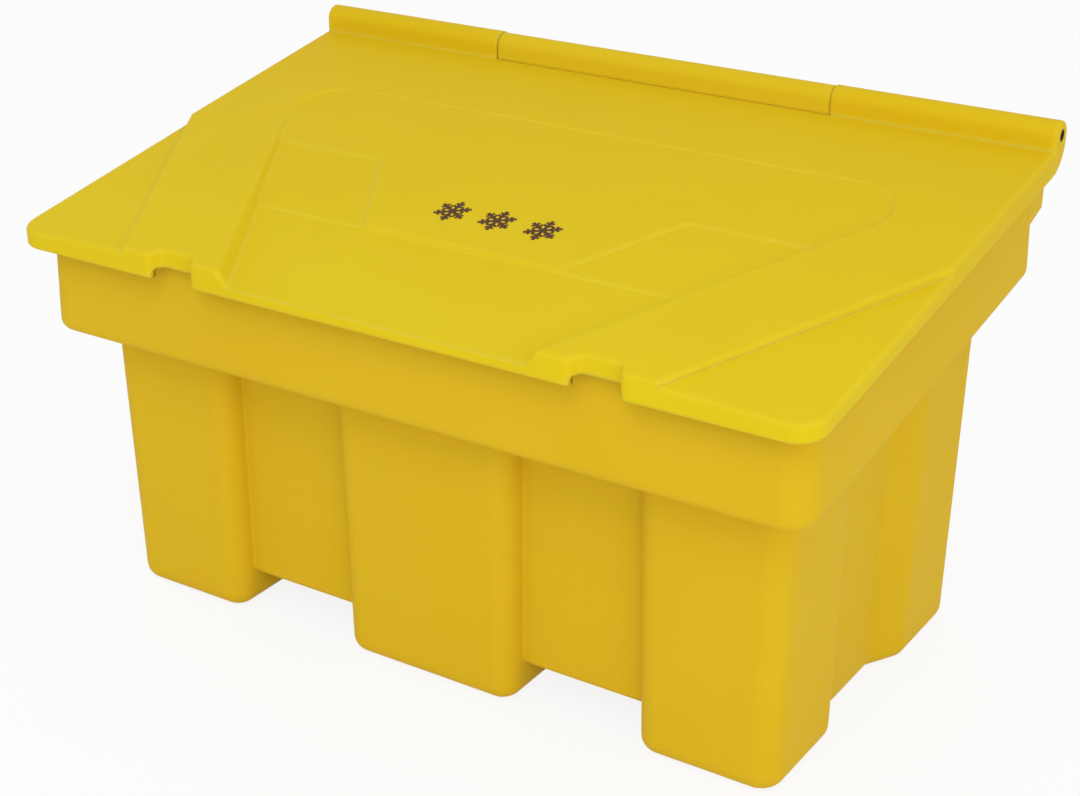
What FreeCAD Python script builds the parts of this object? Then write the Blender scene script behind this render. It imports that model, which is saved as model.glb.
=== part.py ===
import FreeCAD, Part
import math
import os

# A grit bin: a moulded body shell on three feet, and a sloping lid shell that turns on a rod.
# Millimetres. X runs to the right, Y to the back, Z up. The origin lies on the ground, in the
# middle of the body's feet.

os.makedirs("parts", exist_ok=True)
Vector = FreeCAD.Vector

# Moulded wall, the same in both shells
wall = 5.0

# Rim of the lid, which the sizes below follow
lid_half_width = 500.0
rim_height = 30.3
lid_rise = 0.1666
lid_corner_radius = 30.0
lid_edge_radius = 4.0
lid_seat_gap = 0.5

# Collar round the top of the body, leaning in as it rises
lid_side_overhang = 13.6
lid_front_overhang = 23.4
collar_half_width = lid_half_width - lid_side_overhang
collar_half_depth = 289.0
collar_lean = 0.0266
collar_corner_radius = 31.0
collar_edge_radius = 12.0
collar_edge_height = 342.6
collar_edge_rise = 0.156

# Lower body, measured at the ground, widening upwards by the draft
collar_side_ledge = 45.6
collar_front_ledge = 57.4
base_half_width = collar_half_width - collar_side_ledge
base_half_depth = collar_half_depth - collar_front_ledge
body_draft = 0.0125
body_corner_radius = 28.0
foot_edge_radius = 20.0

# Fork channels under the body, and the set-back panels above them
outer_foot_width = 166.9
channel_outer_x = base_half_width - outer_foot_width
channel_inner_x = 114.3
channel_height = 43.0
panel_set_back = 29.0
panel_foot_radius = 8.0
panel_corner_radius = 3.0
pillar_edge_radius = 25.0

# Upright hollow in each side
side_hollow_depth = 23.0
side_hollow_floor_half = 56.5
side_hollow_mouth_half = 98.0
side_hollow_floor_radius = 14.0
side_hollow_mouth_radius = 27.0

# Beam along the top of the rear wall, which carries the middle knuckle
beam_side_step = 0.4
beam_rear_step = 1.0
beam_depth = 48.0
beam_bottom = 508.0
beam_height = 56.0
beam_corner_radius = 8.0
beam_blend_height = 16.0
beam_half_width = collar_half_width - beam_side_step
beam_rear_y = collar_half_depth - beam_rear_step
beam_front_y = beam_rear_y - beam_depth
beam_top = beam_bottom + beam_height

# Hinge
axis_from_beam_rear = 6.8
axis_over_beam = 28.0
rod_radius = 6.0
roll_radius = 16.0
roll_length = 269.5
knuckle_step = 1.2
knuckle_end_gap = 1.0
plate_tuck = 0.5
rod_fit = 0.05
knuckle_fit = 0.08
axis_y = beam_rear_y - axis_from_beam_rear
axis_z = beam_top + axis_over_beam
knuckle_half_length = lid_half_width - roll_length

# Plugs in the ends of the lid's rolls
plug_radius = 7.0
plug_length = 10.0
plug_set_in = 3.5
plug_gap = 0.3

# Lid's top plane, which passes under the hinge axis, and its ends
axis_over_lid = 12.6
lid_front_y = -collar_half_depth - lid_front_overhang
lid_front_height = axis_z - axis_over_lid - lid_rise * (axis_y - lid_front_y)
skirt_end_radius = 37.0

# Recess in the top of the lid, open to the front, with its reach measured from the lid's front
recess_side_margin = 300.0
recess_front_half = lid_half_width - recess_side_margin
recess_spread = 0.533
recess_reach = 440.4
recess_rear_y = lid_front_y + recess_reach
recess_corner_radius = 60.0
recess_wall_lean = 0.69
recess_front_depth = 16.0
recess_ridge_reach = 156.4
recess_ridge_y = lid_front_y + recess_ridge_reach
recess_ridge_low_depth = 12.5
recess_ridge_high_depth = 9.0
recess_ridge_width = 5.0
recess_rear_depth = 1.5

# Sunk pad at each side of the recess, behind the ridge
pad_depth = 2.0
pad_front_inset = 76.0
pad_side_run = 81.0
pad_inner_front_x = recess_front_half - pad_front_inset
pad_inner_rear_x = pad_inner_front_x + pad_side_run
pad_reach = 291.4
pad_rear_y = lid_front_y + pad_reach
pad_corner_radius = 20.0
pad_wall_lean = 1.0

# Finger notches in the front of the rim
notch_from_recess = 38.0
notch_width = 60.0
notch_inner_x = recess_front_half + notch_from_recess
notch_outer_x = notch_inner_x + notch_width
notch_depth = 15.0
notch_side_run = 8.0
notch_radius = 8.0
notch_lift = 12.0
notch_lift_radius = 5.0

# Lowered wing at each front corner of the lid
wing_from_notch = 40.0
wing_front_x = notch_outer_x + wing_from_notch
wing_reach = 302.4
wing_side_y = lid_front_y + wing_reach
wing_front_depth = 5.0
wing_side_depth = 8.5
wing_corner_depth = 9.5

# Reach of cutting shapes past what they cut
past = 40.0

# Closeness that counts as touching, and the least radius that an outline keeps
touching = 0.01
least_radius = 0.5

lid_tilt = math.degrees(math.atan(lid_rise))
lid_plumb = math.sqrt(1 + lid_rise ** 2)


def lid_top(y):
    # Height of the lid's top plane
    return lid_front_height + lid_rise * (y - lid_front_y)


def rim_bottom(y):
    # Height of the rim's lower edge
    return lid_top(y) - rim_height


def along_lid(y):
    # Distance up the lid's slope from its front edge
    return (y - lid_front_y) * lid_plumb


def ring(corners, inset, spread, height):
    # Closed outline at one height, from corner points with radii in anticlockwise order.
    # The inset moves it inwards by a wall: outer corners lose it from their radius, inner ones
    # gain it. The spread moves it outwards and leaves the radii alone.
    count = len(corners)
    shift = inset - spread
    directions = []
    for index in range(count):
        here = corners[index]
        there = corners[(index + 1) % count]
        length = math.hypot(there[0] - here[0], there[1] - here[1])
        directions.append(((there[0] - here[0]) / length, (there[1] - here[1]) / length))
    edges = []
    starts = []
    ends = []
    arcs = []
    for index in range(count):
        before = directions[index - 1]
        after = directions[index]
        turn = math.atan2(before[0] * after[1] - before[1] * after[0],
                          before[0] * after[0] + before[1] * after[1])
        opening = 1 + before[0] * after[0] + before[1] * after[1]
        x = corners[index][0] - shift * (before[1] + after[1]) / opening
        y = corners[index][1] + shift * (before[0] + after[0]) / opening
        radius = corners[index][2]
        if radius > 0:
            radius = max(radius - inset * math.copysign(1, turn), least_radius)
        reach = radius * math.tan(abs(turn) / 2)
        start = Vector(x - before[0] * reach, y - before[1] * reach, height)
        end = Vector(x + after[0] * reach, y + after[1] * reach, height)
        starts.append(start)
        ends.append(end)
        if radius > 0:
            towards = Vector(after[0] - before[0], after[1] - before[1], 0).normalize()
            depth = radius / math.cos(turn / 2) - radius
            arcs.append(Vector(x, y, height) + towards * depth)
        else:
            arcs.append(None)
    for index in range(count):
        if arcs[index] is not None:
            edges.append(Part.Arc(starts[index], arcs[index], ends[index]).toShape())
        following = starts[(index + 1) % count]
        edges.append(Part.LineSegment(ends[index], following).toShape())
    return Part.Wire(edges)


def prism(corners, inset, low_spread, low, high_spread, high):
    # Solid between two heights, whose outline may spread or draw in on the way
    rings = [ring(corners, inset, low_spread, low), ring(corners, inset, high_spread, high)]
    return Part.makeLoft(rings, True, True)


def outline_face(points):
    # Flat face from straight runs
    return Part.Face(Part.makePolygon(points + [points[0]]))


def beyond_plane(height_at, side):
    # Large block above (side 1) or below (side -1) a plane that rises along Y
    reach = 2 * lid_half_width
    tall = side * reach
    near = -reach
    points = [Vector(-reach, near, height_at(near)),
              Vector(-reach, reach, height_at(reach)),
              Vector(-reach, reach, height_at(reach) + tall),
              Vector(-reach, near, height_at(near) + tall)]
    return outline_face(points).extrude(Vector(2 * reach, 0, 0))


def turned_half(points):
    # The same corners again, turned half round
    return points + [(-x, -y, radius) for x, y, radius in points]


def lower_corners():
    width = base_half_width
    depth = base_half_depth
    back = depth - panel_set_back
    front = [(-width, -depth, body_corner_radius)]
    for left, right in ((-channel_outer_x, -channel_inner_x), (channel_inner_x, channel_outer_x)):
        front.append((left, -depth, pillar_edge_radius))
        front.append((left, -back, panel_corner_radius))
        front.append((right, -back, panel_corner_radius))
        front.append((right, -depth, pillar_edge_radius))
    side = [(width, -depth, body_corner_radius),
            (width, -side_hollow_mouth_half, side_hollow_mouth_radius),
            (width - side_hollow_depth, -side_hollow_floor_half, side_hollow_floor_radius),
            (width - side_hollow_depth, side_hollow_floor_half, side_hollow_floor_radius),
            (width, side_hollow_mouth_half, side_hollow_mouth_radius)]
    return turned_half(front + side)


def collar_edge(y):
    # Height of the collar's lower edge
    return collar_edge_height + collar_edge_rise * (y + collar_half_depth)


def collar_corners():
    return turned_half([(-collar_half_width, -collar_half_depth, collar_corner_radius),
                        (collar_half_width, -collar_half_depth, collar_corner_radius)])


def rim_plane(y):
    # The body's top edge lies just under the lid's recess at the front wall
    front = -collar_half_depth
    share = (along_lid(front)) / along_lid(recess_ridge_y)
    depth = recess_front_depth + share * (recess_ridge_low_depth - recess_front_depth)
    seat = lid_top(front) - (depth + wall) * lid_plumb - lid_seat_gap
    return seat + lid_rise * (y - front)


def channel_tool(inner_x, inset):
    # Space of one fork channel: upright walls in line with the panel's sides, a flat roof,
    # and a rounded lip where the roof meets the panel in front and behind
    outer_x = inner_x + channel_outer_x - channel_inner_x
    lip = channel_height + panel_foot_radius
    low = -past
    points = [Vector(inner_x - inset + body_draft * low, 0, low),
              Vector(outer_x + inset - body_draft * low, 0, low),
              Vector(outer_x + inset - body_draft * lip, 0, lip),
              Vector(inner_x - inset + body_draft * lip, 0, lip)]
    reach = base_half_depth + 2 * past
    slot = outline_face(points).extrude(Vector(0, 2 * reach, 0))
    slot.translate(Vector(0, -reach, 0))
    radius = panel_foot_radius - inset
    centre = base_half_depth - panel_set_back + body_draft * lip - panel_foot_radius
    corner = radius * math.sqrt(0.5)
    roof = channel_height + inset
    edges = [Part.LineSegment(Vector(0, -reach, low), Vector(0, reach, low)).toShape(),
             Part.LineSegment(Vector(0, reach, low), Vector(0, reach, lip)).toShape(),
             Part.LineSegment(Vector(0, reach, lip), Vector(0, centre + radius, lip)).toShape(),
             Part.Arc(Vector(0, centre + radius, lip), Vector(0, centre + corner, lip - corner),
                      Vector(0, centre, roof)).toShape(),
             Part.LineSegment(Vector(0, centre, roof), Vector(0, -centre, roof)).toShape(),
             Part.Arc(Vector(0, -centre, roof), Vector(0, -centre - corner, lip - corner),
                      Vector(0, -centre - radius, lip)).toShape(),
             Part.LineSegment(Vector(0, -centre - radius, lip), Vector(0, -reach, lip)).toShape(),
             Part.LineSegment(Vector(0, -reach, lip), Vector(0, -reach, low)).toShape()]
    side_view = Part.Face(Part.Wire(edges)).extrude(Vector(2 * lid_half_width, 0, 0))
    side_view.translate(Vector(-lid_half_width, 0, 0))
    return slot.common(side_view)


def sample_points(edge):
    # Ends and middle of an edge
    middle = edge.valueAt((edge.FirstParameter + edge.LastParameter) / 2)
    return [vertex.Point for vertex in edge.Vertexes] + [middle]


def edges_on_plane(shape, height_at):
    # Edges that lie on a plane which is level or rises along Y
    found = []
    for edge in shape.Edges:
        if all(abs(point.z - height_at(point.y)) < touching for point in sample_points(edge)):
            found.append(edge)
    return found


def lower_part(inset):
    # Lower body, or the space inside it when the inset is the wall
    top = collar_edge(collar_half_depth) + wall
    block = prism(lower_corners(), inset, body_draft * inset, inset, body_draft * top, top)
    for inner_x in (-channel_outer_x, channel_inner_x):
        block = block.cut(channel_tool(inner_x, inset))
    underside = edges_on_plane(block, lambda y: inset)
    return block.makeFillet(foot_edge_radius - inset, underside)


def collar_part(inset, top_plane):
    # Collar, or the space inside it
    def floor(y):
        return collar_edge(y) + inset * math.sqrt(1 + collar_edge_rise ** 2)

    low = collar_edge_height - past
    high = axis_z + past
    block = prism(collar_corners(), inset,
                  collar_lean * (collar_edge_height - low), low,
                  collar_lean * (collar_edge_height - high), high)
    block = block.cut(beyond_plane(floor, -1))
    block = block.makeFillet(collar_edge_radius - inset, edges_on_plane(block, floor))
    return block.cut(beyond_plane(top_plane, 1))


def beam_corners(half_width, rear, radius):
    return [(-half_width, beam_front_y, 0), (half_width, beam_front_y, 0),
            (half_width, rear, radius), (-half_width, rear, radius)]


def beam_part(inset):
    # Square-cornered beam at the top of the rear wall, or the space inside it, open downwards
    corners = beam_corners(beam_half_width, beam_rear_y, beam_corner_radius)
    return prism(corners, inset, 0, beam_bottom - inset, 0, beam_top - inset)


def beam_blend():
    # Outside of the collar drawn into the outside of the beam
    low = beam_bottom - beam_blend_height
    lean = collar_lean * (low - collar_edge_height)
    lower = beam_corners(collar_half_width - lean, collar_half_depth - lean, collar_corner_radius)
    upper = beam_corners(beam_half_width, beam_rear_y, beam_corner_radius)
    return Part.makeLoft([ring(lower, 0, 0, low), ring(upper, 0, 0, beam_bottom)], True, True)


def across(points, start_x, end_x):
    # Solid with a straight-edged side view, from one X to another
    face = outline_face([Vector(start_x, y, z) for y, z in points])
    return face.extrude(Vector(end_x - start_x, 0, 0))


def rod_along(radius, start_x, end_x):
    return Part.makeCylinder(radius, end_x - start_x, Vector(start_x, axis_y, axis_z), Vector(1, 0, 0))


def make_body():
    outside = lower_part(0).fuse(collar_part(0, rim_plane)).fuse(beam_blend()).fuse(beam_part(0))
    inside = collar_part(wall, lambda y: rim_plane(y) + past)
    beam_zone = Part.makeBox(2 * lid_half_width, collar_half_depth, axis_z,
                             Vector(-lid_half_width, beam_front_y, beam_bottom))
    inside = lower_part(wall).fuse(inside.cut(beam_zone)).fuse(beam_part(wall))
    shell = outside.cut(inside)
    half = knuckle_half_length - knuckle_end_gap
    radius = roll_radius - knuckle_step
    knuckle = rod_along(radius, -half, half)
    web_front = axis_y - radius
    web_rear = beam_rear_y - wall / 2
    web = across([(web_front, beam_top - wall), (web_rear, beam_top - wall),
                  (web_rear, axis_z), (web_front, axis_z)], -half, half)
    shell = shell.fuse(web).fuse(knuckle)
    shell = shell.cut(rod_along(rod_radius + knuckle_fit, -lid_half_width, lid_half_width))
    return shell.removeSplitter()


def tilted(shape):
    # From the lid's own frame, with its top plane level, to its place on the bin
    turned = shape.copy()
    turned.rotate(Vector(0, 0, 0), Vector(1, 0, 0), lid_tilt)
    turned.translate(Vector(0, lid_front_y, lid_front_height))
    return turned


def level_profile(points):
    # Solid across the lid in its own frame, from a side view given as distances up the slope
    # and heights over the top plane
    return across(points, -lid_half_width - past, lid_half_width + past)


def recess_zone(inset):
    # Slant-walled trapezoid that all of the recess lies in
    front = -past
    rear = along_lid(recess_rear_y)
    spread = recess_spread / lid_plumb
    front_half = recess_front_half + spread * front
    rear_half = recess_front_half + spread * rear
    corners = [(-front_half, front, 0), (front_half, front, 0),
               (rear_half, rear, recess_corner_radius), (-rear_half, rear, recess_corner_radius)]
    low = -recess_front_depth - 2 * wall
    return prism(corners, -inset, recess_wall_lean * low, low, recess_wall_lean * past, past)


def pad_zone(side, inset):
    # Outline of one pad, drawn beyond the recess's wall on its outer side
    front = along_lid(recess_ridge_y)
    rear = along_lid(pad_rear_y)
    outer = lid_half_width + past
    corners = [(pad_inner_front_x, front, 0), (outer, front, 0), (outer, rear, 0),
               (pad_inner_rear_x, rear, pad_corner_radius)]
    if side < 0:
        corners = [(-x, y, radius) for x, y, radius in reversed(corners)]
    low = -recess_front_depth - 2 * wall
    return prism(corners, -inset, pad_wall_lean * (low + recess_ridge_high_depth), low,
                 pad_wall_lean * (past + recess_ridge_high_depth), past)


def floor_depth(distance, sunk):
    # Depth of the recess floor behind the ridge
    start = along_lid(recess_ridge_y)
    share = (distance - start) / (along_lid(recess_rear_y) - start)
    return recess_ridge_high_depth + share * (recess_rear_depth - recess_ridge_high_depth) + sunk


def sunk_top(inset):
    # All that is sunk into the lid's top plane, or with the inset the same lowered by the wall
    ridge = along_lid(recess_ridge_y)
    end = along_lid(recess_rear_y) + past
    slope = (recess_front_depth - recess_ridge_low_depth) / ridge
    front_floor = [(-past, past), (-past, -recess_front_depth - slope * past - inset),
                   (ridge, -recess_ridge_low_depth - inset)]
    rear_floor = [(ridge + recess_ridge_width, -floor_depth(ridge + recess_ridge_width, inset)),
                  (end, -floor_depth(end, inset)), (end, past)]
    zone = recess_zone(inset)
    sunk = zone.common(level_profile(front_floor + rear_floor))
    pad_floor = [(ridge, past), (ridge, -floor_depth(ridge, inset + pad_depth)),
                 (end, -floor_depth(end, inset + pad_depth)), (end, past)]
    pads = zone.common(level_profile(pad_floor))
    for side in (-1, 1):
        sunk = sunk.fuse(pads.common(pad_zone(side, inset)))
    return sunk


def wing_space(side, inset):
    # Space over one lowered wing: everything above its plane, outside its groove
    front = Vector(wing_front_x, 0, -wing_front_depth)
    rear = Vector(lid_half_width, along_lid(wing_side_y), -wing_side_depth)
    corner = Vector(lid_half_width, 0, -wing_corner_depth)
    upwards = (corner - front).cross(rear - front).normalize()
    along = Vector(rear.x - front.x, rear.y - front.y, 0).normalize()
    outwards = Vector(along.y, -along.x, 0)
    reach = 2 * lid_half_width
    low_points = []
    high_points = []
    for forward, out in ((-1, 0), (1, 0), (1, 1), (-1, 1)):
        place = front + along * (reach * forward) + outwards * (reach * out - inset)
        height = -inset - upwards.dot(Vector(place.x, place.y, 0) - front) / upwards.z
        low_points.append(Vector(side * place.x, place.y, height))
        high_points.append(Vector(side * place.x, place.y, past))
    low_ring = Part.makePolygon(low_points + [low_points[0]])
    high_ring = Part.makePolygon(high_points + [high_points[0]])
    return Part.makeLoft([low_ring, high_ring], True, True)


def lid_plan(inset):
    # Plan of the lid's rim with its two finger notches, as a tall block
    rear = axis_y - roll_radius + plate_tuck
    front = lid_front_y
    back = front + notch_depth
    near = [(-lid_half_width, front, lid_corner_radius)]
    for left, right in ((-notch_outer_x, -notch_inner_x), (notch_inner_x, notch_outer_x)):
        near.append((left, front, notch_radius))
        near.append((left + notch_side_run, back, notch_radius))
        near.append((right - notch_side_run, back, notch_radius))
        near.append((right, front, notch_radius))
    near.append((lid_half_width, front, lid_corner_radius))
    corners = near + [(lid_half_width, rear, 0), (-lid_half_width, rear, 0)]
    return prism(corners, inset, 0, rim_bottom(front) - past, 0, axis_z + past)


def roll_section(start_x, end_x):
    # One outer roll with the strip of lid below its front half
    under = lid_top(axis_y) - wall * lid_plumb
    front = axis_y - roll_radius
    under_front = lid_top(front) - wall * lid_plumb
    strip = across([(front, axis_z), (front, under_front), (axis_y, under), (axis_y, axis_z)],
                   start_x, end_x)
    return rod_along(roll_radius, start_x, end_x).fuse(strip)


def skirt_end(start_x, end_x):
    # Rear end of a side skirt, rounded up from the rim's lower edge to the back of the roll
    rear = axis_y + roll_radius
    centre_y = rear - skirt_end_radius
    centre_z = rim_bottom(centre_y) + skirt_end_radius * lid_plumb
    angle = math.radians(lid_tilt)
    low_y = centre_y + skirt_end_radius * math.sin(angle)
    low_z = centre_z - skirt_end_radius * math.cos(angle)
    middle = (angle - math.pi / 2) / 2
    front = axis_y - 2 * skirt_end_radius
    top_front = axis_y - roll_radius
    outline = [Vector(start_x, front, lid_top(front)), Vector(start_x, front, rim_bottom(front)),
               Vector(start_x, low_y, low_z), Vector(start_x, rear, centre_z),
               Vector(start_x, rear, axis_z), Vector(start_x, top_front, axis_z),
               Vector(start_x, top_front, lid_top(top_front))]
    bend = Vector(start_x, centre_y + skirt_end_radius * math.cos(middle),
                  centre_z + skirt_end_radius * math.sin(middle))
    crown = Vector(start_x, axis_y, axis_z + roll_radius)
    edges = [Part.LineSegment(outline[0], outline[1]).toShape(),
             Part.LineSegment(outline[1], outline[2]).toShape(),
             Part.Arc(outline[2], bend, outline[3]).toShape(),
             Part.LineSegment(outline[3], outline[4]).toShape(),
             Part.Arc(outline[4], crown, outline[5]).toShape(),
             Part.LineSegment(outline[5], outline[6]).toShape(),
             Part.LineSegment(outline[6], outline[0]).toShape()]
    return Part.Face(Part.Wire(edges)).extrude(Vector(end_x - start_x, 0, 0))


def notch_gap(side):
    # Space under one finger notch, where the rim's lower edge is raised
    middle = side * (notch_inner_x + notch_outer_x) / 2
    half = (notch_outer_x - notch_inner_x) / 2
    top = rim_bottom(lid_front_y) + notch_lift
    low = top - past
    corners = [(middle - half, low, 0), (middle + half, low, 0),
               (middle + half, top, notch_lift_radius), (middle - half, top, notch_lift_radius)]
    gap = Part.Face(ring(corners, 0, 0, 0)).extrude(Vector(0, 0, 2 * notch_depth))
    gap.rotate(Vector(0, 0, 0), Vector(1, 0, 0), 90)
    gap.translate(Vector(0, lid_front_y + 2 * notch_depth, 0))
    return gap


def on_rim_face(point):
    # Whether a point lies on the lid's upright outer faces: the front, the sides or a corner
    past_x = abs(point.x) - (lid_half_width - lid_corner_radius)
    past_y = (lid_front_y + lid_corner_radius) - point.y
    if past_x > 0 and past_y > 0:
        return abs(math.hypot(past_x, past_y) - lid_corner_radius) < touching
    return abs(abs(point.x) - lid_half_width) < touching or abs(point.y - lid_front_y) < touching


def rounded_lid(block):
    # Rounds the rear ends and with them the rim's lower edge, then the edges round the top
    seam = axis_y - roll_radius
    ends = []
    for edge in block.Edges:
        points = sample_points(edge)
        middle = points[-1]
        at_side = all(abs(abs(point.x) - lid_half_width) < touching for point in points)
        behind = middle.y > seam - touching and middle.z > rim_bottom(middle.y) + touching
        if at_side and behind:
            ends.append(edge)
    block = block.makeFillet(lid_edge_radius, ends)
    tops = []
    for edge in block.Edges:
        points = sample_points(edge)
        middle = points[-1]
        in_top = all(abs(point.z - lid_top(point.y)) < touching for point in points)
        run = math.hypot(points[0].x - points[-2].x, points[0].y - points[-2].y)
        lowered = all(on_rim_face(point) for point in points) and run > wall / 2
        lowered = lowered and middle.z > rim_bottom(middle.y) + rim_height / 2
        if (in_top or lowered) and middle.y < seam - touching:
            tops.append(edge)
    return block.makeFillet(lid_edge_radius, tops)


def make_lid():
    def underside(y):
        return lid_top(y) - wall * lid_plumb

    outside = lid_plan(0).cut(beyond_plane(lid_top, 1)).cut(beyond_plane(rim_bottom, -1))
    outside = outside.cut(tilted(sunk_top(0)))
    open_end = Part.makeBox(2 * (lid_half_width - wall), 2 * past, axis_z,
                            Vector(wall - lid_half_width, axis_y - roll_radius - past, 0))
    inside = lid_plan(wall).fuse(open_end).cut(beyond_plane(underside, 1))
    inside = inside.cut(tilted(sunk_top(wall)))
    for side in (-1, 1):
        outside = outside.cut(tilted(wing_space(side, 0)))
        outside = outside.fuse(skirt_end(*sorted((side * (lid_half_width - wall), side * lid_half_width))))
        outside = outside.fuse(roll_section(*sorted((side * knuckle_half_length, side * lid_half_width))))
        inside = inside.cut(tilted(wing_space(side, wall)))
    shell = rounded_lid(outside.removeSplitter()).cut(inside)
    for side in (-1, 1):
        shell = shell.cut(notch_gap(side))
    shell = shell.cut(rod_along(rod_radius + rod_fit, -lid_half_width, lid_half_width))
    seat = lid_half_width - plug_set_in - plug_length - plug_gap
    for start, end in ((-lid_half_width, -seat), (seat, lid_half_width)):
        shell = shell.cut(rod_along(plug_radius, start, end))
    return shell.removeSplitter()


def make_rod():
    half = lid_half_width - plug_set_in - plug_length - plug_gap
    return rod_along(rod_radius, -half, half)


def make_plug(side):
    outer = lid_half_width - plug_set_in
    span = sorted((side * (outer - plug_length), side * outer))
    return rod_along(plug_radius - rod_fit, *span)


pieces = {
    "bin_body": make_body(),
    "lid": make_lid(),
    "hinge_rod": make_rod(),
    "rod_plug_left": make_plug(-1),
    "rod_plug_right": make_plug(1),
}
for name, shape in pieces.items():
    shape.exportStep("parts/" + name + ".step")
    print(name, shape.isValid(), len(shape.Solids), round(shape.Volume / 1000), "cubic centimetres")
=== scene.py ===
import math

import bmesh
import bpy
from mathutils import Matrix, Vector


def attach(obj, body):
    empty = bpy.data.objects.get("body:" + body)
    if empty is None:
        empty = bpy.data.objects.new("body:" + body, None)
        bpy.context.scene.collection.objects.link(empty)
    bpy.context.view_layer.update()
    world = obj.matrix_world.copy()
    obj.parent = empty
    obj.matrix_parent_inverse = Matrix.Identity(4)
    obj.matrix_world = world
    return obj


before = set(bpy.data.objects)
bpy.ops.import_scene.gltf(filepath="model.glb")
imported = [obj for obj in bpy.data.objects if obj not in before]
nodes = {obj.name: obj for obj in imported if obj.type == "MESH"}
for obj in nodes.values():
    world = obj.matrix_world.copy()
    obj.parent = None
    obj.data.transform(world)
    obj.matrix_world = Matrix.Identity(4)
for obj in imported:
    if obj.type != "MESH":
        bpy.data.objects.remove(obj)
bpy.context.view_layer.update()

print("frame loaded:", ", ".join(sorted(nodes)))


class Wire:
    # an output socket that takes part in sums written as plain expressions
    def __init__(self, finish, socket):
        self.finish = finish
        self.socket = socket

    def sum(self, operation, first, second):
        return self.finish.add("ShaderNodeMath", {"operation": operation}, {0: first, 1: second})

    def __add__(self, other):
        return self.sum("ADD", self, other)

    def __sub__(self, other):
        return self.sum("SUBTRACT", self, other)

    def __rsub__(self, other):
        return self.sum("SUBTRACT", other, self)

    def __mul__(self, other):
        return self.sum("MULTIPLY", self, other)

    __radd__ = __add__
    __rmul__ = __mul__


class Finish:
    # one material or world, and the nodes added to it
    def __init__(self, owner):
        owner.use_nodes = True
        self.owner = owner
        self.tree = owner.node_tree
        self.tree.nodes.clear()

    def add(self, kind, settings, inputs, output=0):
        node = self.tree.nodes.new(kind)
        for setting, value in settings.items():
            if setting == "stops":
                for stop, (position, grey) in zip(node.color_ramp.elements, value):
                    stop.position = position
                    stop.color = (grey, grey, grey, 1)
            else:
                setattr(node, setting, value)
        for name, value in inputs.items():
            if isinstance(value, Wire):
                self.tree.links.new(value.socket, node.inputs[name])
            else:
                node.inputs[name].default_value = value
        if node.outputs:
            return Wire(self, node.outputs[output])

    def place(self, stretch=(1, 1, 1)):
        own = self.add("ShaderNodeTexCoord", {}, {}, "Object")
        return self.add("ShaderNodeMapping", {}, {"Vector": own, "Scale": stretch})

    def noise(self, place, scale, detail=2, roughness=0.5):
        inputs = {"Vector": place, "Scale": scale, "Detail": detail, "Roughness": roughness}
        return self.add("ShaderNodeTexNoise", {}, inputs)

    def ramp(self, value, low, high):
        # black below low, white above high
        return self.add("ShaderNodeValToRGB", {"stops": [(low, 0), (high, 1)]}, {"Fac": value})

    def tint(self, mask, colour, other):
        # a Mix node takes its two colours at 6 and 7 and gives one at 2
        inputs = {0: mask, 6: colour, 7: other}
        return self.add("ShaderNodeMix", {"data_type": "RGBA"}, inputs, 2)

    def bump(self, height, distance, normal=None):
        inputs = {"Height": height, "Distance": distance, "Strength": 1}
        if normal:
            inputs["Normal"] = normal
        return self.add("ShaderNodeBump", {}, inputs)

    def softEdge(self, radius):
        return self.add("ShaderNodeBevel", {"samples": 6}, {"Radius": radius})

    def edgeMask(self, rounded):
        # 0 on the flat, rising where the rounded normal leaves the real one
        real = self.add("ShaderNodeNewGeometry", {}, {}, "Normal")
        compare = {"operation": "DOT_PRODUCT"}
        alike = self.add("ShaderNodeVectorMath", compare, {0: rounded, 1: real}, "Value")
        return 1 - alike

    def surface(self, inputs):
        shader = self.add("ShaderNodeBsdfPrincipled", {}, inputs)
        self.add("ShaderNodeOutputMaterial", {}, {"Surface": shader})
        return self.owner


def newFinish(name):
    return Finish(bpy.data.materials.new(name))


def shade(colour):
    return (*colour, 1)


def turned(degrees, axis="Z"):
    return Matrix.Rotation(math.radians(degrees), 4, axis)


def dress(nodeName, material):
    mesh = nodes[nodeName].data
    mesh.materials.clear()
    mesh.materials.append(material)


def addPiece(name, mesh, material):
    data = bpy.data.meshes.new(name)
    mesh.to_mesh(data)
    mesh.free()
    data.materials.append(material)
    piece = bpy.data.objects.new(name, data)
    bpy.context.scene.collection.objects.link(piece)
    return piece


# body and lid: moulded yellow polyethylene, a satin skin with a fine blasted grain
# scales are per metre, ranges are where a mask starts and where it is full
bodyLook = {
    "colour": (0.720, 0.478, 0.016),
    "paintedLightingColour": (0.745, 0.540, 0.016),
    "paintedLighting": ("Z", 0.50, 0.57),  # painted light: the body turns lighter and greener towards its top, to the lid's lit tone; along which axis, from where to where
    "deepColour": (0.690, 0.420, 0.006),  # of the pigment's slow drift, and its flecks
    "cloudScale": 6.0,
    "cloudRange": (0.30, 0.70),
    "cloudTint": 0.25,
    "fleckScale": 420.0,
    "fleckRange": (0.62, 0.75),
    "fleckTint": 0.10,
    "fleckRoughness": 0.05,
    "edgeHighlightAndWearColour": (0.830, 0.640, 0.050),  # painted highlight along the edges, and paler wear where they are rubbed
    "edgeRadius": 0.0045,
    "edgeRange": (0.008, 0.080),
    "edgeHighlightTint": 0.05,
    "rubScale": 38.0,
    "rubRange": (0.40, 0.66),
    "rubTint": 0.20,
    "rubRoughness": 0.10,
    "roughness": 0.52,
    "gloss": 0.05,
    "smearScale": 14.0,
    "smearStretch": (1, 1, 2.5),
    "smearRoughness": 0.16,
    "waveScale": 8.0,  # the wall's slight unevenness
    "waveHeight": 0.0020,
    "peelScale": 110.0,  # orange peel in the skin
    "peelHeight": 0.00014,
    "grainScale": 1500.0,
    "grainHeight": 0.00006,
}

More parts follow.
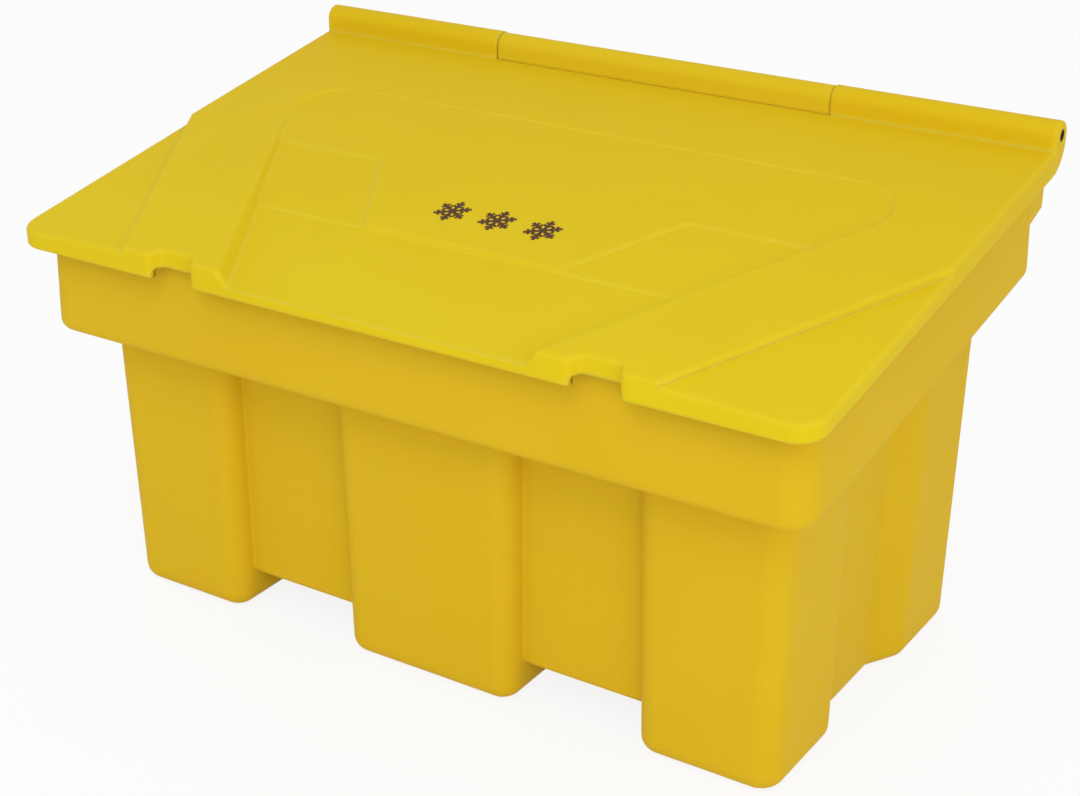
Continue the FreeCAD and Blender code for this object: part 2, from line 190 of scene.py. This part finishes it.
lidLook = {
    **bodyLook,
    # painted light: the same plastic as the body, painted lighter and greener for the extra
    # light the lid's top gets
    "colour": (0.760, 0.575, 0.010),
    # painted light and shade: the lid is lighter and greener at the front, and darker and more
    # orange towards the rear
    "paintedLightingColour": (0.735, 0.510, 0.010),
    "paintedLighting": ("Y", -0.25, 0.22),
    "deepColour": (0.700, 0.480, 0.006),
    "edgeHighlightAndWearColour": (0.900, 0.760, 0.110),
    "edgeRadius": 0.0070,
    # painted highlight: a stronger pale line along the lid's rounded edges
    "edgeHighlightTint": 0.28,
    "waveScale": 6.0,
    "waveHeight": 0.0016,
}


def mouldedPlastic(name, look):
    finish = newFinish(name)
    place = finish.place()
    clouds = finish.noise(place, look["cloudScale"], detail=3)
    clouds = finish.ramp(clouds, *look["cloudRange"])
    flecks = finish.ramp(finish.noise(place, look["fleckScale"]), *look["fleckRange"])
    smearPlace = finish.place(look["smearStretch"])
    smears = finish.noise(smearPlace, look["smearScale"], detail=4, roughness=0.6)

    rounded = finish.softEdge(look["edgeRadius"])
    edges = finish.ramp(finish.edgeMask(rounded), *look["edgeRange"])
    rubs = finish.noise(place, look["rubScale"], detail=4, roughness=0.65)
    rubbed = edges * finish.ramp(rubs, *look["rubRange"])

    # painted light and shade: a colour ramp along one axis, standing for how the light falls
    # across the part
    axis, start, end = look["paintedLighting"]
    along = finish.add("ShaderNodeSeparateXYZ", {}, {"Vector": place}, axis)
    paintedLightingMask = finish.ramp((along - start) * (1 / (end - start)), 0, 1)
    colour = finish.tint(paintedLightingMask, shade(look["colour"]), shade(look["paintedLightingColour"]))
    deep = clouds * look["cloudTint"] + flecks * look["fleckTint"]
    colour = finish.tint(deep, colour, shade(look["deepColour"]))
    # painted highlight along the edges, with paler wear where they are rubbed
    pale = edges * look["edgeHighlightTint"] + rubbed * look["rubTint"]
    colour = finish.tint(pale, colour, shade(look["edgeHighlightAndWearColour"]))

    roughness = look["roughness"] + (smears - 0.5) * look["smearRoughness"]
    roughness = roughness + flecks * look["fleckRoughness"] + rubbed * look["rubRoughness"]

    waves = finish.noise(place, look["waveScale"], detail=1)
    peel = finish.noise(place, look["peelScale"])
    grain = finish.noise(place, look["grainScale"], roughness=0.6)
    normal = finish.bump(waves, look["waveHeight"], rounded)
    normal = finish.bump(peel, look["peelHeight"], normal)
    normal = finish.bump(grain, look["grainHeight"], normal)
    return finish.surface({
        "Base Color": colour,
        "Roughness": roughness,
        "Specular IOR Level": look["gloss"],
        "Normal": normal,
    })


bodyFinish = mouldedPlastic("bodyYellow", bodyLook)
dress("bin_body", bodyFinish)
dress("lid", mouldedPlastic("lidYellow", lidLook))
print("body and lid dressed")


# shoulders that draw the collar's sides out to the ends of the rear beam
shoulder = {
    "frontY": 0.2140,
    "rearY": 0.2404,
    "collarWidth": 0.48635,  # half of it, at the collar's lower edge
    "collarBottom": 0.3426,
    "collarLean": 0.0266,  # how much narrower per metre up
    "beamWidth": 0.48595,  # half of it
    "beamBottom": 0.5080,
    "blendBottom": 0.4920,
    "rimAtFront": 0.5445,
    "rimSlope": 0.1666,
    "depth": 0.0030,  # how far the hidden side lies inside the collar's wall
    "rows": 9,
    "steps": 10,
    "sharpFrom": math.radians(40),
}


def eased(share):
    return (1 - math.cos(math.pi * share)) / 2


def shoulderPoint(along, up, inwards, look):
    # along and up run from 0 to 1, and inwards tells the hidden side from the seen one
    y = look["frontY"] + along * (look["rearY"] - look["frontY"])
    rim = look["rimAtFront"] + (y - look["frontY"]) * look["rimSlope"]
    z = look["blendBottom"] + up * (rim - look["blendBottom"])
    collar = look["collarWidth"] - (z - look["collarBottom"]) * look["collarLean"]
    if inwards:
        return collar - look["depth"], y, z
    blend = min(1, (z - look["blendBottom"]) / (look["beamBottom"] - look["blendBottom"]))
    return collar + eased(blend) * eased(along) * (look["beamWidth"] - collar), y, z


def sortParts(mesh):
    # an extrusion leaves the edges and faces of its rim in no fixed order
    mesh.verts.index_update()
    count = len(mesh.verts)

    def rank(part):
        corners = sorted(corner.index for corner in part.verts)
        return corners[0] * count + corners[-1]

    mesh.edges.sort(key=rank)
    mesh.faces.sort(key=rank)


def addShoulder(name, side, look):
    mesh = bmesh.new()
    half = 0.5  # the grid starts one unit across, round the origin
    grid = bmesh.ops.create_grid(mesh, x_segments=look["steps"], y_segments=look["rows"],
                                 size=half)
    seen = {corner: corner.co.copy() for corner in grid["verts"]}
    skin = bmesh.ops.extrude_face_region(mesh, geom=mesh.faces[:], use_keep_orig=True)
    hidden = [part for part in skin["geom"] if isinstance(part, bmesh.types.BMVert)]
    sortParts(mesh)
    for corner in mesh.verts:
        flat = seen.get(corner, corner.co)
        x, y, z = shoulderPoint(flat.x + half, flat.y + half, corner in hidden, look)
        corner.co = (side * x, y, z)
    bmesh.ops.recalc_face_normals(mesh, faces=mesh.faces)
    for face in mesh.faces:
        face.smooth = True
    for edge in mesh.edges:
        edge.smooth = edge.calc_face_angle(0) < look["sharpFrom"]
    piece = addPiece(name, mesh, bodyFinish)
    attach(piece, "bin")


addShoulder("shoulderLeft", -1, shoulder)
addShoulder("shoulderRight", 1, shoulder)
print("shoulders placed")


# hinge: a drawn steel rod, and plugs in the ends of the lid's rolls whose near-black colour is
# painted shade for the hole in each roll's end
rodLook = {
    "colour": (0.54, 0.54, 0.55),
    "drawnColour": (0.42, 0.42, 0.43),
    "roughness": 0.34,
    "lineStretch": (6, 900, 900),  # long along the rod, fine across it
    "lineTint": 0.6,
    "lineRoughness": 0.12,
    "lineHeight": 0.00003,
    "stainScale": 55.0,
    "stainRange": (0.45, 0.70),
    "stainRoughness": 0.15,
}


def drawnSteel(name, look):
    finish = newFinish(name)
    lines = finish.noise(finish.place(look["lineStretch"]), 1, detail=3, roughness=0.6)
    stains = finish.noise(finish.place(), look["stainScale"], detail=4)
    stains = finish.ramp(stains, *look["stainRange"])
    drawn = lines * look["lineTint"]
    worn = lines * look["lineRoughness"] + stains * look["stainRoughness"]
    return finish.surface({
        "Base Color": finish.tint(drawn, shade(look["colour"]), shade(look["drawnColour"])),
        "Metallic": 1.0,
        "Roughness": look["roughness"] + worn,
        "Normal": finish.bump(lines, look["lineHeight"]),
    })


plugLook = {
    # painted shade: near black, for the shade inside each roll's mouth
    "colour": (0.026, 0.012, 0.005),
    "dustColour": (0.045, 0.028, 0.012),
    "dustScale": 260.0,
    "dustRange": (0.50, 0.75),
    "dustTint": 0.5,
    "dustRoughness": 0.2,
    "roughness": 0.6,
    "gloss": 0.03,
    "edgeRadius": 0.0006,
    "grainScale": 2200.0,
    "grainHeight": 0.00005,
}


# the plugs' finish: painted shade for the holes, with a little dust
def paintedHoleShade(name, look):
    finish = newFinish(name)
    place = finish.place()
    dust = finish.noise(place, look["dustScale"], detail=4, roughness=0.6)
    dust = finish.ramp(dust, *look["dustRange"])
    dusty = dust * look["dustTint"]
    grain = finish.noise(place, look["grainScale"])
    rounded = finish.softEdge(look["edgeRadius"])
    return finish.surface({
        "Base Color": finish.tint(dusty, shade(look["colour"]), shade(look["dustColour"])),
        "Roughness": look["roughness"] + dust * look["dustRoughness"],
        "Specular IOR Level": look["gloss"],
        "Normal": finish.bump(grain, look["grainHeight"], rounded),
    })


dress("hinge_rod", drawnSteel("drawnRod", rodLook))
plugFinish = paintedHoleShade("plugPaintedShade", plugLook)
dress("rod_plug_left", plugFinish)
dress("rod_plug_right", plugFinish)
print("hinge dressed")


# rounded heads on the plugs, which fill the mouths of the rolls with their painted shade
plugHead = {
    "radius": 0.0067,
    "inner": 0.4964,  # from the middle of the bin
    "outer": 0.4996,
    "axis": (0.2812, 0.5920),  # the rod's y and z
    "sides": 48,
    "round": 0.0008,
    "roundSteps": 3,
}


def addPlugHead(name, side, look):
    mesh = bmesh.new()
    bmesh.ops.create_cone(mesh, cap_ends=True, segments=look["sides"], radius1=look["radius"],
                          radius2=look["radius"], depth=look["outer"] - look["inner"])
    top = [edge for edge in mesh.edges if all(corner.co.z > 0 for corner in edge.verts)]
    bmesh.ops.bevel(mesh, geom=top, offset=look["round"], segments=look["roundSteps"],
                    profile=0.5, material=-1, affect="EDGES")
    middle = (look["inner"] + look["outer"]) / 2
    place = Matrix.Translation((side * middle, *look["axis"]))
    bmesh.ops.transform(mesh, matrix=place @ turned(90 * side, "Y"), verts=mesh.verts)
    head = addPiece(name, mesh, plugFinish)
    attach(head, "lid_group")


addPlugHead("plugHeadLeft", -1, plugHead)
addPlugHead("plugHeadRight", 1, plugHead)
print("plug heads placed")


# print on the lid: a row of three plain frost stars on the sunk panel
panel = {
    "frontY": -0.3124,  # where the lid's top plane starts
    "frontZ": 0.48051,
    "slope": 9.459,  # degrees
    "nearY": -0.1560,  # the sunk panel's depth under that plane, near and far
    "nearDepth": 0.0090,
    "farY": 0.1280,
    "farDepth": 0.0015,
}

starPrint = {
    "centres": (-0.051, 0.008, 0.067),
    "y": -0.090,
    "arms": 6,
    "firstArm": 30,  # degrees
    "armLength": 0.0215,
    "armWidth": 0.0042,
    "twigs": ((0.0085, 0.0070), (0.0140, 0.0060)),  # place along the arm, length
    "twigWidth": 0.0032,
    "twigTurn": 60,  # degrees
    "thickness": 0.0004,
    "layer": 0.000003,  # no two bars that cross share a height
    "layersPerArm": 4,
    "colour": (0.100, 0.046, 0.022),
    "thinColour": (0.190, 0.100, 0.020),
    "thinScale": 700.0,
    "thinRange": (0.55, 0.80),
    "thinTint": 0.5,
    "thinRoughness": 0.15,
    "roughness": 0.6,
    "gloss": 0.08,
    "grainScale": 1500.0,
    "grainHeight": 0.00004,
}


def upTheLid(fromY, toY):
    return (toY - fromY) / math.cos(math.radians(panel["slope"]))


def panelPlace():
    # from a flat sheet, x right and y up the lid, to its place on the sunk panel
    start = Matrix.Translation((0, panel["frontY"], panel["frontZ"]))
    along = upTheLid(panel["frontY"], panel["nearY"])
    reach = upTheLid(panel["nearY"], panel["farY"])
    rise = math.atan2(panel["nearDepth"] - panel["farDepth"], reach)
    near = Matrix.Translation((0, along, -panel["nearDepth"]))
    return start @ turned(panel["slope"], "X") @ near @ Matrix.Rotation(rise, 4, "X")


def starInk(name, look):
    finish = newFinish(name)
    place = finish.place()
    thin = finish.noise(place, look["thinScale"], detail=3, roughness=0.6)
    thin = finish.ramp(thin, *look["thinRange"])
    worn = thin * look["thinTint"]
    grain = finish.noise(place, look["grainScale"])
    return finish.surface({
        "Base Color": finish.tint(worn, shade(look["colour"]), shade(look["thinColour"])),
        "Roughness": look["roughness"] + thin * look["thinRoughness"],
        "Specular IOR Level": look["gloss"],
        "Normal": finish.bump(grain, look["grainHeight"]),
    })


def addBar(mesh, length, width, thickness, place):
    # a bar that starts at the origin and runs along x, then goes to its place
    bar = bmesh.ops.create_cube(mesh, size=1)["verts"]
    bmesh.ops.scale(mesh, vec=(length, width, thickness), verts=bar)
    bmesh.ops.translate(mesh, vec=(length / 2, 0, 0), verts=bar)
    bmesh.ops.transform(mesh, matrix=place, verts=bar)


def addArm(mesh, place, look):
    addBar(mesh, look["armLength"], look["armWidth"], look["thickness"], place)
    for along, length in look["twigs"]:
        for side in (-1, 1):
            root = Matrix.Translation((along, 0, look["layer"] * side))
            twig = place @ (root @ turned(look["twigTurn"] * side))
            addBar(mesh, length, look["twigWidth"], look["thickness"], twig)


def frostStars(name, look):
    mesh = bmesh.new()
    up = upTheLid(panel["nearY"], look["y"])
    for centre in look["centres"]:
        for arm in range(look["arms"]):
            height = look["layersPerArm"] * arm * look["layer"]
            turn = look["firstArm"] + arm * 360 / look["arms"]
            addArm(mesh, Matrix.Translation((centre, up, height)) @ turned(turn), look)
    bmesh.ops.transform(mesh, matrix=panelPlace(), verts=mesh.verts)
    return addPiece(name, mesh, starInk("starInk", look))


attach(frostStars("frostStars", starPrint), "lid_group")
print("print placed")


# pale floor that shows white round the object's shadow
floorLook = {
    "size": 40.0,
    "colour": (0.95, 0.95, 0.95),
    "glow": 0.87,
}

whiteLight = {"Color": shade((1, 1, 1)), "Strength": 1}


def seenRays(finish):
    # 1 for what the camera sees, also by way of a mirror or glass, else 0
    seen = finish.add("ShaderNodeLightPath", {}, {}, "Is Camera Ray")
    for ray in ("Is Glossy Ray", "Is Transmission Ray"):
        seen = seen + finish.add("ShaderNodeLightPath", {}, {}, ray)
    return seen


def paleFloor(look):
    finish = newFinish("paleFloor")
    lit = finish.add("ShaderNodeBsdfDiffuse", {}, {"Color": shade(look["colour"])})
    white = finish.add("ShaderNodeEmission", {}, whiteLight)
    glow = seenRays(finish) * look["glow"]
    both = finish.add("ShaderNodeMixShader", {}, {0: glow, 1: lit, 2: white})
    finish.add("ShaderNodeOutputMaterial", {}, {"Surface": both})
    mesh = bmesh.new()
    bmesh.ops.create_grid(mesh, x_segments=1, y_segments=1, size=look["size"] / 2)
    addPiece("floor", mesh, finish.owner)


# soft lamps: name, place, size across and power
studio = {
    "aim": (0, 0, 0.3),
    "lamps": (
        ("cornerLamp", (3.25, -2.75, 1.8), 2.6, 32),
        ("frontLamp", (0.7, -1.9, 2.7), 1.6, 14),
    ),
    "worldStrength": 0.77,
}


def makeLamp(name, place, size, power):
    data = bpy.data.lights.new(name, "AREA")
    data.shape = "DISK"
    data.size = size
    data.energy = power
    lamp = bpy.data.objects.new(name, data)
    lamp.location = place
    towards = Vector(studio["aim"]) - Vector(place)
    lamp.rotation_euler = towards.to_track_quat("-Z", "Y").to_euler()
    bpy.context.scene.collection.objects.link(lamp)


def makeWorld(strength):
    world = bpy.data.worlds.new("studioWorld")
    finish = Finish(world)
    dim = finish.add("ShaderNodeBackground", {}, {**whiteLight, "Strength": strength})
    white = finish.add("ShaderNodeBackground", {}, whiteLight)
    both = finish.add("ShaderNodeMixShader", {}, {0: seenRays(finish), 1: dim, 2: white})
    finish.add("ShaderNodeOutputWorld", {}, {"Surface": both})
    bpy.context.scene.world = world


# the photograph's viewpoint, three quarters from the right and from above
cameraLook = {
    "place": (1.17046, -1.80185, 1.23092),
    "azimuth": 32.880,
    "elevation": 25.994,
    "roll": 0.043,
    "lens": 66.893,
    "sensorWidth": 36,
    "shiftY": 0.0574,
}


def makeCamera(look):
    data = bpy.data.cameras.new("camera")
    data.lens = look["lens"]
    data.sensor_width = look["sensorWidth"]
    data.shift_y = look["shiftY"]
    camera = bpy.data.objects.new("camera", data)
    aim = turned(look["azimuth"]) @ turned(90 - look["elevation"], "X") @ turned(-look["roll"])
    camera.matrix_world = Matrix.Translation(look["place"]) @ aim
    bpy.context.scene.collection.objects.link(camera)
    bpy.context.scene.camera = camera


paleFloor(floorLook)
for lamp in studio["lamps"]:
    makeLamp(*lamp)
makeWorld(studio["worldStrength"])
makeCamera(cameraLook)
bpy.context.scene.view_settings.view_transform = "Standard"
print("studio ready")
